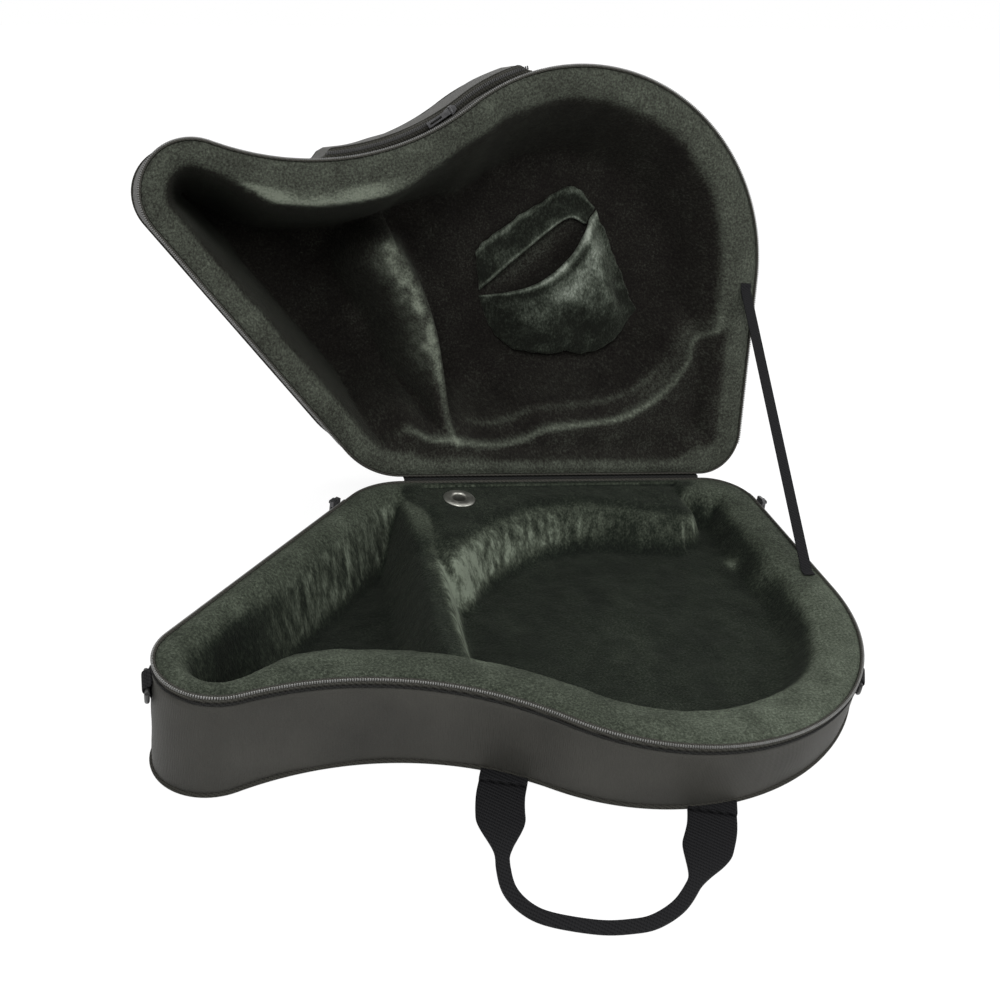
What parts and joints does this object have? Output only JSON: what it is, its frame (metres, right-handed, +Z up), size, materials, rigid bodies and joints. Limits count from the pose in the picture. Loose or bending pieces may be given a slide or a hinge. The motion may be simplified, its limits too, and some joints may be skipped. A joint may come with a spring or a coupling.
{
  "type": "french horn case",
  "caption": "Open soft-sided, zip-round case shaped for a coiled horn: nylon-covered wedge shell, plush lining with bell trench, stay strap, handles and strap rings.",
  "frame": {"origin": "on the floor, on the case's flat bottom, under the middle of its plan", "axes": "+X along the hinge to the right as seen from the open front, +Y to the back where the lid is hinged, +Z up; the front, where the base zip and its handle are, is -Y"},
  "size_m": [0.6725, 0.8518, 0.464],
  "materials": {
    "nylon_cover": "satin",
    "binding_tape": "matte",
    "zip_tape": "matte",
    "zip_teeth": "satin",
    "plush": "matte",
    "webbing": "matte",
    "shell_board": "matte",
    "lid_board": "matte",
    "grommet_metal": "satin",
    "ring_metal": "satin",
    "slider_metal": "satin"
  },
  "bodies": {
    "base": {"base_shell": "shell_board", "base_side_cover": "nylon_cover", "base_bottom_cover": "nylon_cover", "base_panel_piping": "binding_tape", "base_zip_tape": "zip_tape", "base_zip_chain": "zip_teeth", "base_zip_binding": "binding_tape", "base_lining": "plush", "mouthpiece_block": "plush", "bell_divider": "plush", "mouthpiece_grommet": "grommet_metal", "fabric_hinge": "nylon_cover", "strap_anchor_base": "webbing", "stay_strap": "webbing", "base_handle_anchors": "webbing", "dring_tab_left": "webbing", "dring_tab_right": "webbing"},
    "lid": {"lid_shell": "lid_board", "lid_side_cover": "nylon_cover", "lid_outer_panel": "nylon_cover", "lid_panel_piping": "binding_tape", "lid_zip_tape": "zip_tape", "lid_zip_chain": "zip_teeth", "lid_zip_binding": "binding_tape", "lid_lining": "plush", "lid_ledge": "plush", "lid_divider": "plush", "lid_handle_anchors": "webbing", "lid_pocket_panel": "nylon_cover", "lid_pocket_zip": "zip_tape", "lid_pouch": "plush", "strap_anchor_lid": "webbing"},
    "base_handle": {"base_handle": "webbing"},
    "lid_handle": {"lid_handle": "webbing"},
    "dring_left": {"dring_left": "ring_metal"},
    "dring_right": {"dring_right": "ring_metal"},
    "zip_slider_left": {"zip_slider_left": "slider_metal"},
    "zip_slider_right": {"zip_slider_right": "slider_metal"},
    "zip_pull_left": {"zip_pull_left": "slider_metal"},
    "zip_pull_right": {"zip_pull_right": "slider_metal"},
    "pocket_slider": {"pocket_slider": "slider_metal"},
    "pocket_pull": {"pocket_pull": "slider_metal"}
  },
  "joints": [
    {"name": "lid_hinge", "type": "hinge", "parent": "base", "child": "lid", "pos_m": [0.00741, 0.20995, 0.07694], "axis": [0.9954, 0, -0.0958], "range_deg": [0, 107.7], "deforming": ["stay_strap"]},
    {"name": "base_handle_hinge", "type": "hinge", "parent": "base", "child": "base_handle", "pos_m": [0.02966, -0.18465, 0.0025], "axis": [-0.9171, 0.3987, 0], "range_deg": [0, 80]},
    {"name": "lid_handle_hinge", "type": "hinge", "parent": "lid", "child": "lid_handle", "pos_m": [0.07559, 0.46839, 0.38623], "axis": [0.9205, -0.1225, 0.3711], "range_deg": [-15, 155]},
    {"name": "dring_left_hinge", "type": "hinge", "parent": "base", "child": "dring_left", "pos_m": [-0.31762, -0.06025, 0.08496], "axis": [0, 1, 0], "range_deg": [0, 150]},
    {"name": "dring_right_hinge", "type": "hinge", "parent": "base", "child": "dring_right", "pos_m": [0.29898, -0.11307, 0.02559], "axis": [-0.5127, -0.8572, 0.0494], "range_deg": [-5, 145]},
    {"name": "zip_left_travel", "type": "slide", "parent": "base", "child": "zip_slider_left", "axis": [-0.66, -0.7486, 0.0635], "range_m": [0, 0.24]},
    {"name": "zip_right_travel", "type": "slide", "parent": "base", "child": "zip_slider_right", "axis": [0.0088, -1, -0.0008], "range_m": [0, 0.155]},
    {"name": "zip_pull_left_hinge", "type": "hinge", "parent": "zip_slider_left", "child": "zip_pull_left", "pos_m": [-0.13515, 0.16992, 0.09067], "axis": [0.66, 0.7486, -0.0635], "range_deg": [0, 150]},
    {"name": "zip_pull_right_hinge", "type": "hinge", "parent": "zip_slider_right", "child": "zip_pull_right", "pos_m": [0.33228, 0.15482, 0.04566], "axis": [0.0088, -1, -0.0008], "range_deg": [-5.5, 145]},
    {"name": "pocket_zip_travel", "type": "hinge", "parent": "lid", "child": "pocket_slider", "pos_m": [-0.12146, 0.38597, 0.64345], "axis": [-0.0291, 0.9527, -0.3026], "range_deg": [0, 26]},
    {"name": "pocket_pull_hinge", "type": "hinge", "parent": "pocket_slider", "child": "pocket_pull", "pos_m": [0.01522, 0.34276, 0.41893], "axis": [-0.5175, 0.2446, 0.82], "range_deg": [0, 150]}
  ]
}
